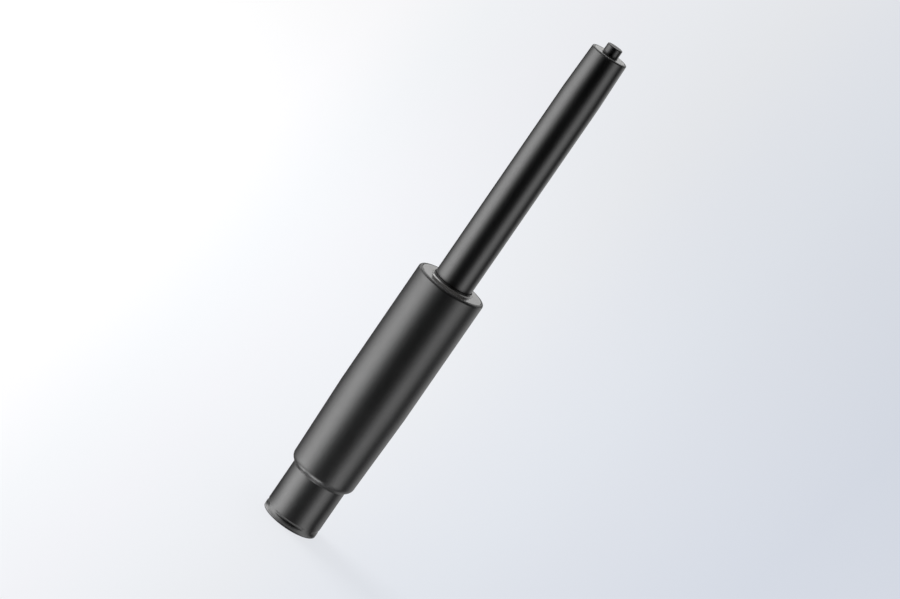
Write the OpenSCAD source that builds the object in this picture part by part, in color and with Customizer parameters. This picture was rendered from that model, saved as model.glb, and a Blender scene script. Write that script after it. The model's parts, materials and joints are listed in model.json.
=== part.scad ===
// Gas lift cylinder for a swivel chair.
// A tapered column tube stands in the chair's base. A plastic bush in its mouth guides a gas spring that
// hangs upside down: the rod is held at the bottom of the column on a thrust bearing, and the pressure
// tube slides up and down on the rod and turns with it. The seat sits on the taper at the tube's top, and
// a button there opens the valve. Heights are measured from the foot of the column, along its axis.

/* [Column tube] */
// Outer diameter of the straight part
column_d = 50.8; // [48:0.1:54]
// Wall thickness of the column tube
column_wall = 2; // [1.5:0.1:2.5]
// Overall height of the column tube
column_h = 198; // [185:1:215]
// Height at which the taper reaches the full diameter
taper_top = 102; // [85:1:104]
// One in this many is the taper on the diameter, on the column and on the pressure tube
taper_rate = 20; // [16:0.5:30]
// Angle of the shoulder from the axis
shoulder_angle = 45; // [30:1:60]
// Rounding between the shoulder and the taper
shoulder_round = 3; // [0.5:0.1:4]
// Rounding of the column's top edge
rim_round = 1.8; // [0.4:0.1:2.4]
// Diameter of the reduced foot
foot_d = 40.8; // [38:0.1:43]
// Height of the reduced foot
foot_h = 37.5; // [32:0.5:45]
// Height of the middle of the crimp that carries the base plate
crimp_z = 4.7; // [4:0.1:6]
// Width of the crimp
crimp_w = 3.4; // [2:0.1:5]
// Depth of the crimp
crimp_depth = 0.35; // [0.1:0.05:0.6]

/* [Base plate and clip] */
// Thickness of the base plate
plate_t = 5; // [3:0.1:7]
// Height of the collar that centres the lower race
seat_h = 1.5; // [0.5:0.1:2.2]
// Wall of the collar that centres the lower race
seat_wall = 1.8; // [0.8:0.1:3]
// Thickness of the washer between the clip and the base plate
clip_washer_t = 1.3; // [0.8:0.1:1.8]
// Outer diameter of the washer between the clip and the base plate
clip_washer_d = 20; // [17:0.1:26]
// Thickness of the retaining clip
clip_t = 1.2; // [0.8:0.1:1.5]
// Outer diameter of the retaining clip
clip_d = 16; // [13:0.1:20]
// Width of the clip's open mouth
clip_mouth = 5.2; // [3:0.1:5.8]

/* [Thrust bearing] */
// Diameter of a bearing ball
ball_d = 4.75; // [4:0.05:5.1]
// Number of bearing balls
ball_count = 10; // [6:1:10]
// Diameter of the circle that the balls run on
ball_circle_d = 19; // [18.6:0.1:20]
// Outer diameter of the races
race_d = 26; // [25:0.1:27.5]
// Thickness of each race
race_t = 2.5; // [1.8:0.1:4]
// Depth of the groove in each race
race_groove = 0.8; // [0.4:0.05:1.1]
// Thickness of the ball cage
cage_t = 1.6; // [0.8:0.1:2.4]
// Width of cage left inside and outside the ball pockets
cage_edge = 0.7; // [0.4:0.05:0.9]

/* [Rod and bumper] */
// Diameter of the piston rod
rod_d = 10; // [9:0.1:11]
// Diameter of the rod's lower end, which passes through the bearing
rod_end_d = 8; // [7:0.1:8.8]
// Diameter of the groove that takes the clip
clip_groove_d = 6; // [5.4:0.1:6.4]
// Length of the rod below the clip
rod_tip = 2; // [1:0.1:2.2]
// Diameter of the rod's neck inside the piston
rod_neck_d = 7; // [5:0.1:8]
// Diameter of the riveted head on the rod
rivet_d = 9.4; // [8.6:0.1:12]
// Height of the riveted head on the rod
rivet_h = 2.2; // [1.4:0.1:3]
// Thickness of the washer under the bumper
bumper_washer_t = 1.4; // [0.8:0.1:2.5]
// Outer diameter of the washer under the bumper
bumper_washer_d = 25; // [23.4:0.1:27]
// Height of the rubber bumper
bumper_h = 10; // [6:0.5:16]
// Outer diameter of the rubber bumper
bumper_d = 23; // [19:0.1:25]
// Depth of the bumper's waist
bumper_waist = 1.6; // [0.5:0.1:3]

/* [Piston] */
// Height of the piston
piston_h = 12; // [8:0.5:16]
// Thickness of the washer above the piston
piston_washer_t = 1.2; // [0.8:0.1:2]
// Diameter of the washer above the piston
piston_washer_d = 15; // [12.4:0.1:18]
// Thickness of the piston seal's ring
piston_seal_t = 2; // [1.4:0.1:3]

/* [Pressure tube] */
// Travel of the pressure tube
stroke = 120; // [60:1:140]
// Outer diameter of the pressure tube
tube_d = 28; // [27:0.1:29]
// Wall thickness of the pressure tube
tube_wall = 1.5; // [1.2:0.05:1.9]
// Length of the taper at the top of the pressure tube
tube_taper_l = 34; // [26:1:44]
// Rounding of the pressure tube's top edge
tube_top_round = 0.9; // [0.3:0.05:1.1]
// Rounding of the pressure tube's rolled lower edge
tube_foot_round = 2; // [0.8:0.1:3]
// Diameter of the opening left by the rolled lower edge
tube_foot_open_d = 16; // [13:0.1:20]
// Outer diameter of the inner cylinder
inner_d = 22; // [21:0.1:23]
// Wall thickness of the inner cylinder
inner_wall = 1; // [0.7:0.05:1.4]
// Diameter of the gas ports in the inner cylinder
port_d = 2; // [1:0.1:2.2]
// Number of gas ports in the inner cylinder
port_count = 4; // [2:1:6]

/* [Lower end of the pressure tube] */
// Height of the rod guide
rod_guide_h = 10; // [6:0.5:14]
// Height of the rod seal
rod_seal_h = 7; // [5:0.5:9]
// Depth of the groove between the lips of the rod seal
rod_seal_groove = 3.5; // [1.5:0.1:4.2]
// Thickness of the washer above the rod seal
seal_washer_t = 1.5; // [1:0.1:2.5]
// Thickness of the flange of the cylinder seat
seat_flange_t = 3; // [2:0.1:5]
// Height of the spigot that centres the inner cylinder
seat_spigot_h = 4; // [2:0.1:6]
// Height of the stop above the spigot
seat_stop_h = 2.7; // [2.4:0.1:4]
// Diameter of the stop that the piston meets
seat_stop_d = 16.4; // [14:0.1:18]

/* [Valve] */
// Height of the valve body
valve_h = 30; // [28:0.5:36]
// Height of the spigot that enters the inner cylinder
valve_spigot_h = 6; // [4:0.1:7]
// Height of the narrower part of the valve body, where the gas crosses
valve_neck_h = 5; // [4:0.1:6]
// Radial step of the narrower part of the valve body
valve_neck_step = 1; // [0.4:0.1:1.4]
// Diameter of the cross hole in the valve body
cross_hole_d = 2; // [1:0.1:2.4]
// Thickness of the seals around the valve body
valve_seal_t = 2.5; // [1.8:0.1:3]
// Height of the lower valve seal above the foot of the valve body
valve_seal_z = 15; // [13.5:0.1:17]
// Distance between the two valve seals
valve_seal_pitch = 8; // [5:0.1:10]
// Diameter of the valve pin
pin_d = 4; // [3:0.1:4.6]
// Thickness of the seals around the valve pin
pin_seal_t = 1.84; // [1.2:0.02:2.2]
// Diameter of the valve pin's head
pin_head_d = 8.4; // [6.4:0.1:9]
// Height of the straight part of the valve pin's head
pin_head_h = 2.5; // [1.5:0.1:3]
// Diameter of the chamber round the valve pin's head
chamber_d = 10; // [9.4:0.1:12]
// Height of the straight part of the chamber
chamber_h = 7.5; // [7.2:0.1:8]
// Room left between the piston's rivet and the valve body when the lift is down
end_room = 3; // [1:0.1:12]

/* [Release button] */
// Diameter of the release button
button_d = 11.2; // [9:0.1:13]
// Height of the button above the tube's top face
button_out = 6.5; // [5:0.1:9]
// Depth of the button inside the top plug
button_in = 5; // [3:0.1:7]
// Travel of the button
button_travel = 3.5; // [2:0.1:4]
// Rounding of the button's top edge
button_round = 0.6; // [0.1:0.05:1.2]
// Chamfer round the top plug's face
plug_chamfer = 0.35; // [0.1:0.05:0.8]

/* [Guide bush and wiper] */
// Length of the guide bush
bush_l = 88; // [70:1:95]
// Height of the bush's solid head
bush_head_h = 9; // [8:0.1:14]
// Wall of the bush's inner sleeve
bush_sleeve_wall = 2.4; // [1.2:0.1:3]
// Wall of the bush's outer skin
bush_skin_wall = 1.5; // [1:0.1:2.5]
// Number of ribs between the sleeve and the skin
rib_count = 12; // [4:1:18]
// Thickness of a rib
rib_t = 1.6; // [0.8:0.1:3]
// Chamfer round the bush's top face
bush_chamfer = 0.5; // [0.1:0.05:1.2]
// Width of the bead round the wiper on the bush's top face
bush_bead_w = 1.4; // [0.8:0.1:2.4]
// Height of that bead over the face
bush_bead_h = 0.8; // [0.4:0.1:1.2]
// Chamfer at the lower mouth of the bush
bush_lead = 1; // [0.2:0.1:1.2]
// Depth of the wiper's groove below the top face
wiper_depth = 2.2; // [1.4:0.1:3]
// Height of the wiper's body in its groove
wiper_body_h = 3.8; // [2:0.1:5]
// Radial width of the wiper's body
wiper_body_w = 3; // [1.5:0.1:4]
// Thickness of the wiper's neck
wiper_neck_t = 0.35; // [0.25:0.05:0.6]
// Height of the wiper's lip above the top face
wiper_h = 3.1; // [1.6:0.1:5]
// Height of the lip itself
wiper_lip_h = 0.9; // [0.5:0.1:1.4]
// Radial step of the lip beyond the neck
wiper_lip_w = 0.3; // [0.1:0.05:0.8]

/* [Fits] */
// Radial play of the pressure tube in the guide bush
guide_play = 0.06; // [0.02:0.01:0.1]
// Radial play of the pressure tube in the wiper
wiper_play = 0.09; // [0.03:0.01:0.1]
// Radial play of the rod in its guide and seal
rod_play = 0.05; // [0.02:0.01:0.1]
// Radial play of the piston and its seal in the inner cylinder
piston_play = 0.05; // [0.02:0.01:0.1]
// Radial play of the valve pin in the valve body
pin_play = 0.05; // [0.02:0.01:0.1]
// Radial play of the button in the top plug
button_play = 0.2; // [0.1:0.05:0.4]
// Play between a ball and its grooves
ball_play = 0.05; // [0.02:0.01:0.1]
// Play between a ball and its pocket in the cage
pocket_play = 0.15; // [0.05:0.05:0.3]
// Gap between parts that turn or stop against each other
stop_gap = 0.3; // [0.1:0.05:0.5]
// Gap between the clip's washer and the base plate
turn_gap = 0.1; // [0.05:0.05:0.3]
// Radial room of the rod's end in the base plate and the lower race
rod_end_room = 0.5; // [0.3:0.1:0.8]

/* [Hidden] */
$fn = 96;
// Steps in a rounded corner of an outline
arc_steps = 6;
// How far a cut runs past the surface
past = 1;

// Colours of the finishes
black_paint = [0.10, 0.10, 0.10];
black_plastic = [0.07, 0.07, 0.07];
black_rubber = [0.05, 0.05, 0.05];
bright_steel = [0.62, 0.62, 0.63];
hard_chrome = [0.78, 0.78, 0.79];
natural_plastic = [0.85, 0.84, 0.80];
cage_brass = [0.72, 0.56, 0.28];

// Radii of the column and its foot
column_r = column_d / 2;
column_bore_r = column_r - column_wall;
foot_r = foot_d / 2;
foot_bore_r = foot_r - column_wall;
// Radius gained for each millimetre of height on a taper
taper_slope = 1 / (2 * taper_rate);

// Corner where the shoulder meets the taper
shoulder_z = (column_r - taper_top * taper_slope - foot_r + foot_h * tan(shoulder_angle))
    / (tan(shoulder_angle) - taper_slope);
shoulder_r = column_r - (taper_top - shoulder_z) * taper_slope;
// Rise of the inner corners above the outer ones, for an even wall
wall_rise = column_wall * tan(shoulder_angle / 2);

// Heights of the base plate and of what lies on and under it
plate_z = crimp_z + crimp_w / 2;
race_z = plate_z + plate_t;
clip_washer_z = plate_z - turn_gap - clip_washer_t;
clip_z = clip_washer_z - clip_t;
rod_tip_z = clip_z - rod_tip;

// The balls share the centre of both grooves
ball_r = ball_d / 2;
ball_circle_r = ball_circle_d / 2;
groove_r = ball_r + ball_play;
ball_z = race_z + race_t + groove_r - race_groove;
upper_race_z = ball_z + groove_r - race_groove;
bearing_top = upper_race_z + race_t;
pocket_r = ball_r + pocket_play;

// The rod and the bumper on the bearing
rod_r = rod_d / 2;
rod_end_r = rod_end_d / 2;
bumper_z = bearing_top + bumper_washer_t;
bumper_top = bumper_z + bumper_h;

// The pressure tube and its lower end, with the lift fully out
tube_r = tube_d / 2;
tube_bore_r = tube_r - tube_wall;
tube_z = bumper_top + stop_gap + stroke;
rod_guide_z = tube_z + tube_wall;
rod_seal_z = rod_guide_z + rod_guide_h;
seal_washer_z = rod_seal_z + rod_seal_h;
seat_z = seal_washer_z + seal_washer_t;
inner_z = seat_z + seat_flange_t;
spigot_top = inner_z + seat_spigot_h;
stop_top = spigot_top + seat_stop_h;
inner_r = inner_d / 2;
inner_bore_r = inner_r - inner_wall;
port_z = spigot_top + port_d / 2;

// The piston on its stop
piston_z = stop_top + stop_gap;
piston_r = inner_bore_r - piston_play;
piston_washer_z = piston_z + piston_h;
rivet_z = piston_washer_z + piston_washer_t;
rod_top = rivet_z + rivet_h;

// The valve, which the riveted head nearly reaches when the lift is down
valve_z = rod_top + stroke + end_room;
valve_top = valve_z + valve_h;
valve_shoulder_z = valve_z + valve_spigot_h;
tube_top = valve_top + tube_taper_l;
tube_top_r = tube_r - tube_taper_l * taper_slope;
plug_top_r = tube_top_r - tube_wall;
pin_r = pin_d / 2;
pin_bore_r = pin_r + pin_play;
pin_head_z = valve_z + button_travel + stop_gap;
seal_heights = [valve_z + valve_seal_z, valve_z + valve_seal_z + valve_seal_pitch];
// Height of the seat's cone, which the pin's head follows
cone_h = chamber_d / 2 - pin_bore_r;

// The release button
button_r = button_d / 2;
button_bore_r = button_r + button_play;
button_z = tube_top - button_in;
button_top = tube_top + button_out;
button_floor = button_z - button_travel - stop_gap;

// The guide bush and the wiper
bush_z = column_h - bush_l;
guide_r = tube_r + guide_play;
sleeve_r = guide_r + bush_sleeve_wall;
skin_r = column_bore_r - bush_skin_wall;
wiper_r = tube_r + wiper_play;
wiper_neck_r = wiper_r + wiper_neck_t;
bead_r = wiper_neck_r + bush_bead_w;
wiper_body_r = wiper_r + wiper_body_w;
wiper_top = column_h - wiper_depth;
wiper_z = wiper_top - wiper_body_h;

// Point at the distance d from a towards b
function toward(a, b, d) = a + (b - a) * d / norm(b - a);

// Half the angle between the two sides that meet at b
function half_angle(a, b, c) =
    let (u = a - b, v = c - b)
    acos(u * v / (norm(u) * norm(v))) / 2;

// Vector v turned by an angle
function turned_by(v, angle) =
    [v.x * cos(angle) - v.y * sin(angle), v.x * sin(angle) + v.y * cos(angle)];

// Points of a rounding of radius r at the corner b between a and c
function corner_arc(a, b, c, r) =
    let (
        half = half_angle(a, b, c),
        start = toward(b, a, r / tan(half)),
        end = toward(b, c, r / tan(half)),
        centre = toward(b, (start + end) / 2, r / sin(half)),
        sweep = sign(cross(b - a, c - b)) * (180 - 2 * half)
    )
    [for (i = [0 : arc_steps]) centre + turned_by(start - centre, sweep * i / arc_steps)];

// Outline through points [x, y] or [x, y, rounding]
function outline(points) =
    let (n = len(points))
    [
        for (i = [0 : n - 1])
            let (a = points[(i + n - 1) % n], b = points[i], c = points[(i + 1) % n])
            each len(b) < 3 ? [b]
                : corner_arc([a.x, a.y], [b.x, b.y], [c.x, c.y], b.z)
    ];

// Solid turned on the axis from an outline of radii and heights
module turned(points) {
    rotate_extrude()
        polygon(outline(points));
}

// Flat ring between two radii
module ring(inner, outer, z, h) {
    turned([[inner, z], [outer, z], [outer, z + h], [inner, z + h]]);
}

// Seal ring of round section that touches the radius touch from inside
module seal_ring(touch, thickness, z) {
    translate([0, 0, z])
        rotate_extrude()
            translate([touch - thickness / 2, 0])
                circle(d = thickness);
}

// Race with its groove, which faces the balls
module race(inner, outer, z) {
    rotate_extrude()
        difference() {
            translate([inner, z])
                square([outer - inner, race_t]);
            translate([ball_circle_r, ball_z])
                circle(r = groove_r);
        }
}

// Places its children at each ball
module at_balls() {
    for (i = [0 : ball_count - 1])
        rotate([0, 0, i * 360 / ball_count])
            translate([ball_circle_r, 0, ball_z])
                children();
}

// Tapered outer tube, with a reduced foot and a crimp above its lower edge
module column_tube() {
    color(black_paint)
        turned([
            [foot_bore_r, 0],
            [foot_r, 0, 0.3],
            [foot_r, crimp_z - crimp_w / 2],
            [foot_r - crimp_depth, crimp_z, crimp_w],
            [foot_r, crimp_z + crimp_w / 2],
            [foot_r, foot_h],
            [shoulder_r, shoulder_z, shoulder_round],
            [column_r, taper_top],
            [column_r, column_h, min(rim_round, column_wall - 0.1)],
            [column_bore_r, column_h],
            [column_bore_r, taper_top],
            [shoulder_r - column_wall, shoulder_z + wall_rise],
            [foot_bore_r, foot_h + wall_rise],
            [foot_bore_r, crimp_z + crimp_w / 2],
            [foot_bore_r - crimp_depth, crimp_z, crimp_w],
            [foot_bore_r, crimp_z - crimp_w / 2]
        ]);
}

// Steel plate pressed into the foot, with a collar for the lower race
module base_plate() {
    collar_r = race_d / 2 + seat_wall;
    color(bright_steel)
        turned([
            [rod_end_r + rod_end_room, plate_z],
            [foot_bore_r, plate_z, 0.5],
            [foot_bore_r, race_z, 0.5],
            [collar_r, race_z],
            [collar_r, race_z + seat_h, 0.4],
            [race_d / 2, race_z + seat_h],
            [race_d / 2, race_z],
            [rod_end_r + rod_end_room, race_z]
        ]);
}

// Ribbed plastic bush that guides the pressure tube
module guide_bush() {
    pocket_h = bush_l - bush_head_h;
    rib_l = skin_r - sleeve_r;
    root = min(bush_skin_wall, bush_sleeve_wall) / 2;
    color(black_plastic) {
        difference() {
            turned([
                [guide_r + bush_lead, bush_z],
                [column_bore_r, bush_z, 0.6],
                [column_bore_r, column_h - bush_chamfer],
                [column_bore_r - bush_chamfer, column_h],
                [bead_r, column_h],
                [bead_r, column_h + bush_bead_h, bush_bead_h / 2],
                [wiper_neck_r, column_h + bush_bead_h],
                [wiper_neck_r, wiper_top],
                [wiper_body_r, wiper_top],
                [wiper_body_r, wiper_z],
                [guide_r, wiper_z],
                [guide_r, bush_z + bush_lead]
            ]);
            ring(sleeve_r, skin_r, bush_z - past, pocket_h + past);
        }
        for (i = [0 : rib_count - 1])
            rotate([0, 0, i * 360 / rib_count])
                translate([sleeve_r - root, -rib_t / 2, bush_z + bush_lead])
                    cube([rib_l + 2 * root, rib_t, pocket_h - bush_lead + root]);
    }
}

// Rubber wiper held in the bush, with a thin lip round the pressure tube
module wiper_ring() {
    lip_z = column_h + wiper_h - wiper_lip_h;
    lip_r = wiper_neck_r + wiper_lip_w;
    color(black_rubber)
        turned([
            [wiper_r, wiper_z],
            [wiper_body_r, wiper_z],
            [wiper_body_r, wiper_top],
            [wiper_neck_r, wiper_top],
            [wiper_neck_r, lip_z - wiper_lip_w],
            [lip_r, lip_z],
            [lip_r, column_h + wiper_h - 0.2],
            [lip_r - 0.2, column_h + wiper_h],
            [wiper_r, column_h + wiper_h]
        ]);
}

// Grooved race that lies in the collar of the base plate
module lower_race() {
    color(bright_steel)
        race(rod_end_r + rod_end_room, race_d / 2, race_z);
}

// Grooved race under the rod's shoulder
module upper_race() {
    color(bright_steel)
        race(rod_end_r, race_d / 2 - stop_gap, upper_race_z);
}

// Flat cage with a round pocket for each ball
module ball_cage() {
    color(cage_brass)
        difference() {
            ring(
                ball_circle_r - pocket_r - cage_edge,
                ball_circle_r + pocket_r + cage_edge,
                ball_z - cage_t / 2,
                cage_t
            );
            at_balls()
                cylinder(r = pocket_r, h = cage_t + 2 * past, center = true);
        }
}

// Balls of the thrust bearing
module bearing_balls() {
    color(hard_chrome)
        at_balls()
            sphere(r = ball_r);
}

// Chromed rod with its clip groove, its shoulder on the bearing and its riveted head
module piston_rod() {
    color(hard_chrome)
        turned([
            [0, rod_tip_z],
            [rod_end_r, rod_tip_z, 0.6],
            [rod_end_r, clip_z],
            [clip_groove_d / 2, clip_z],
            [clip_groove_d / 2, clip_washer_z],
            [rod_end_r, clip_washer_z],
            [rod_end_r, bearing_top],
            [rod_r, bearing_top],
            [rod_r, piston_z],
            [rod_neck_d / 2, piston_z],
            [rod_neck_d / 2, rivet_z],
            [rivet_d / 2, rivet_z],
            [rivet_d / 2, rivet_z + rivet_h / 2],
            [rod_neck_d / 4, rod_top],
            [0, rod_top]
        ]);
}

// Spring steel clip pushed sideways into the rod's groove
module retaining_clip() {
    grip_r = clip_groove_d / 2;
    relief_r = grip_r / 3;
    color(bright_steel)
        translate([0, 0, clip_z])
            difference() {
                cylinder(d = clip_d, h = clip_t);
                translate([0, 0, -past])
                    cylinder(r = grip_r, h = clip_t + 2 * past);
                translate([0, -clip_mouth / 2, -past])
                    cube([clip_d, clip_mouth, clip_t + 2 * past]);
                for (side = [-1, 1])
                    rotate([0, 0, side * 115])
                        translate([grip_r + relief_r / 2, 0, -past])
                            cylinder(r = relief_r, h = clip_t + 2 * past);
            }
}

// Washer that the clip bears on
module clip_washer() {
    color(bright_steel)
        ring(rod_end_r, clip_washer_d / 2, clip_washer_z, clip_washer_t);
}

// Washer that spreads the bumper's load on the bearing
module bumper_washer() {
    color(bright_steel)
        ring(rod_r, bumper_washer_d / 2, bearing_top, bumper_washer_t);
}

// Waisted rubber ring that the pressure tube lands on
module bumper() {
    outer = bumper_d / 2;
    waist_r = outer - bumper_waist;
    color(black_rubber)
        turned([
            [rod_r, bumper_z],
            [outer, bumper_z, 0.8],
            [outer, bumper_z + bumper_h * 0.3, 0.5],
            [waist_r, bumper_z + bumper_h / 2, 0.8],
            [outer, bumper_z + bumper_h * 0.7, 0.5],
            [outer, bumper_top, 0.8],
            [rod_r, bumper_top]
        ]);
}

// Piston with the groove of its seal
module piston() {
    groove_h = piston_seal_t * 1.2;
    groove_z = piston_z + (piston_h - groove_h) / 2;
    groove_floor = piston_r - piston_seal_t;
    color(natural_plastic)
        turned([
            [rod_neck_d / 2, piston_z],
            [piston_r, piston_z, 0.5],
            [piston_r, groove_z],
            [groove_floor, groove_z],
            [groove_floor, groove_z + groove_h],
            [piston_r, groove_z + groove_h],
            [piston_r, piston_washer_z, 0.5],
            [rod_neck_d / 2, piston_washer_z]
        ]);
}

// Rubber ring in the piston's groove
module piston_seal() {
    color(black_rubber)
        seal_ring(piston_r, piston_seal_t, piston_z + piston_h / 2);
}

// Washer between the piston and the riveted head
module piston_washer() {
    color(bright_steel)
        ring(rod_neck_d / 2, piston_washer_d / 2, piston_washer_z, piston_washer_t);
}

// Outer tube of the gas spring, with its top taper and its rolled lower edge
module pressure_tube() {
    color(black_paint)
        turned([
            [tube_foot_open_d / 2, tube_z],
            [tube_r, tube_z, tube_foot_round],
            [tube_r, valve_top],
            [tube_top_r, tube_top, min(tube_top_round, tube_wall - 0.1)],
            [plug_top_r, tube_top],
            [tube_bore_r, valve_top],
            [tube_bore_r, rod_guide_z],
            [tube_foot_open_d / 2, rod_guide_z]
        ]);
}

// Plastic guide for the rod, on the rolled edge of the pressure tube
module rod_guide() {
    color(natural_plastic)
        turned([
            [rod_r + rod_play, rod_guide_z],
            [tube_bore_r, rod_guide_z],
            [tube_bore_r, rod_seal_z],
            [rod_r + rod_play, rod_seal_z]
        ]);
}

// Rubber seal round the rod, with two lips that the gas presses apart
module rod_seal() {
    floor_z = rod_seal_z + rod_seal_h - rod_seal_groove;
    span = tube_bore_r - rod_r;
    color(black_rubber)
        turned([
            [rod_r + rod_play, rod_seal_z],
            [tube_bore_r, rod_seal_z],
            [tube_bore_r, seal_washer_z],
            [tube_bore_r - 0.25 * span, seal_washer_z],
            [tube_bore_r - 0.4 * span, floor_z],
            [rod_r + 0.4 * span, floor_z],
            [rod_r + 0.25 * span, seal_washer_z],
            [rod_r + rod_play, seal_washer_z]
        ]);
}

// Steel washer that backs the rod seal
module seal_washer() {
    color(bright_steel)
        ring(rod_r + stop_gap, tube_bore_r, seal_washer_z, seal_washer_t);
}

// Seat of the inner cylinder, with its spigot and the stop for the piston
module cylinder_seat() {
    color(bright_steel)
        turned([
            [rod_r + stop_gap, seat_z],
            [tube_bore_r, seat_z],
            [tube_bore_r, inner_z],
            [inner_bore_r, inner_z],
            [inner_bore_r, spigot_top],
            [seat_stop_d / 2, spigot_top],
            [seat_stop_d / 2, stop_top],
            [rod_r + stop_gap, stop_top]
        ]);
}

// Inner cylinder that the piston runs in, with gas ports above its seat
module inner_cylinder() {
    color(bright_steel)
        difference() {
            ring(inner_bore_r, inner_r, inner_z, valve_shoulder_z - inner_z);
            for (i = [0 : port_count - 1])
                rotate([0, 0, i * 360 / port_count])
                    translate([inner_bore_r - past, 0, port_z])
                        rotate([0, 90, 0])
                            cylinder(d = port_d, h = inner_wall + 2 * past);
        }
}

// Valve body between the inner cylinder and the top plug
module valve_body() {
    neck_r = tube_bore_r - valve_neck_step;
    neck_top = valve_shoulder_z + valve_neck_h;
    half_gap = valve_seal_t * 0.55;
    floor_r = tube_bore_r - valve_seal_t;
    color(natural_plastic)
        difference() {
            turned([
                [chamber_d / 2, valve_z],
                [inner_bore_r, valve_z, 0.5],
                [inner_bore_r, valve_shoulder_z],
                [neck_r, valve_shoulder_z],
                [neck_r, neck_top],
                [tube_bore_r, neck_top],
                for (z = seal_heights) each [
                    [tube_bore_r, z - half_gap],
                    [floor_r, z - half_gap],
                    [floor_r, z + half_gap],
                    [tube_bore_r, z + half_gap]
                ],
                [tube_bore_r, valve_top],
                [pin_bore_r, valve_top],
                [pin_bore_r, valve_z + chamber_h + cone_h],
                [chamber_d / 2, valve_z + chamber_h]
            ]);
            for (z = seal_heights)
                ring(pin_bore_r - pin_play, pin_bore_r + pin_seal_t, z - pin_seal_t * 0.55, pin_seal_t * 1.1);
            translate([0, 0, valve_shoulder_z + valve_neck_h / 2])
                rotate([0, 90, 0])
                    cylinder(d = cross_hole_d, h = tube_r);
        }
}

// Seals between the valve body and the pressure tube
module valve_seals() {
    color(black_rubber)
        for (z = seal_heights)
            seal_ring(tube_bore_r, valve_seal_t, z);
}

// Seals between the valve body and its pin
module pin_seals() {
    color(black_rubber)
        for (z = seal_heights)
            seal_ring(pin_bore_r + pin_seal_t, pin_seal_t, z);
}

// Tapered plug that closes the pressure tube and guides the button
module top_plug() {
    color(bright_steel)
        turned([
            [pin_bore_r, valve_top],
            [tube_bore_r, valve_top],
            [plug_top_r + plug_chamfer * taper_slope, tube_top - plug_chamfer],
            [plug_top_r - plug_chamfer, tube_top],
            [button_bore_r, tube_top],
            [button_bore_r, button_floor],
            [pin_bore_r, button_floor]
        ]);
}

// Valve pin, whose coned head closes the chamber from below
module valve_pin() {
    shut_z = valve_z + chamber_h + cone_h - (pin_head_d / 2 - pin_r) - stop_gap;
    head_top = min(pin_head_z + pin_head_h, shut_z);
    color(hard_chrome)
        turned([
            [0, pin_head_z],
            [pin_head_d / 2, pin_head_z, 0.4],
            [pin_head_d / 2, head_top],
            [pin_r, head_top + pin_head_d / 2 - pin_r],
            [pin_r, tube_top],
            [0, tube_top]
        ]);
}

// Button pressed onto the valve pin
module release_button() {
    color(black_plastic)
        turned([
            [pin_r, button_z],
            [button_r, button_z, 0.4],
            [button_r, button_top, button_round],
            [0, button_top],
            [0, tube_top],
            [pin_r, tube_top]
        ]);
}

column_tube();
base_plate();
guide_bush();
wiper_ring();
lower_race();
ball_cage();
bearing_balls();
piston_rod();
retaining_clip();
clip_washer();
upper_race();
bumper_washer();
bumper();
piston();
piston_seal();
piston_washer();
pressure_tube();
rod_guide();
rod_seal();
seal_washer();
cylinder_seat();
inner_cylinder();
valve_body();
valve_seals();
pin_seals();
top_plug();
valve_pin();
release_button();
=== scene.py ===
# %% [markdown]
# # A gas lift cylinder for a swivel chair
# The part is almost all turned work: tubes, a bush, a plug and a button round one axis, in satin
# black enamel. Black enamel shows hardly any colour of its own. What the eye sees is the room
# mirrored in it, so most of this lesson is about clean outlines, a believable coat of paint and
# the cards that it mirrors. The imported model comes first. It is the frame that every piece here
# is fitted to.

# %% Load the imported model
import json
import math

import bmesh
import bpy
from mathutils import Euler, Matrix, Vector


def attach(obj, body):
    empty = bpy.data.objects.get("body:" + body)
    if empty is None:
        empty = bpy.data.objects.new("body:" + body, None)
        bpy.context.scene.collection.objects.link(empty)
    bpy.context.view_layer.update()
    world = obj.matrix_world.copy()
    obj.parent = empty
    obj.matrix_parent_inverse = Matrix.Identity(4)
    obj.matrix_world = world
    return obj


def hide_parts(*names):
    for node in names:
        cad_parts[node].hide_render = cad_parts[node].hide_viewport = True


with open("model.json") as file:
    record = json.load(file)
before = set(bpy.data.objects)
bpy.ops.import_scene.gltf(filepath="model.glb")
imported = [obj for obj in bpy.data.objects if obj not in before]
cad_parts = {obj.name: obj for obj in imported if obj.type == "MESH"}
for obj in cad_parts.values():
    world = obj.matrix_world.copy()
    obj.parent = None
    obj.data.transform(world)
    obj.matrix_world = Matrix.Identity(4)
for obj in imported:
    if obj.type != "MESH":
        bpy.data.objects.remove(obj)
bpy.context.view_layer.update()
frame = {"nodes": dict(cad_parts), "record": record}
bpy.context.scene.view_settings.view_transform = "Standard"

# %% [markdown]
# ## The camera
# The photograph was taken with a long lens from two or three metres, slightly above the part, and
# the part leans to the right in the picture. The part stands upright here, so the camera is
# rolled instead. A long lens keeps the two sides of the tube almost parallel, which is how the
# photograph shows them. The camera is aimed by rotation and not by a lens shift, so that other
# views stay centred.

# %% Aim the camera
MM = 0.001
IMAGE_WIDTH, IMAGE_HEIGHT = 900, 599
SENSOR_WIDTH = 36.0


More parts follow.
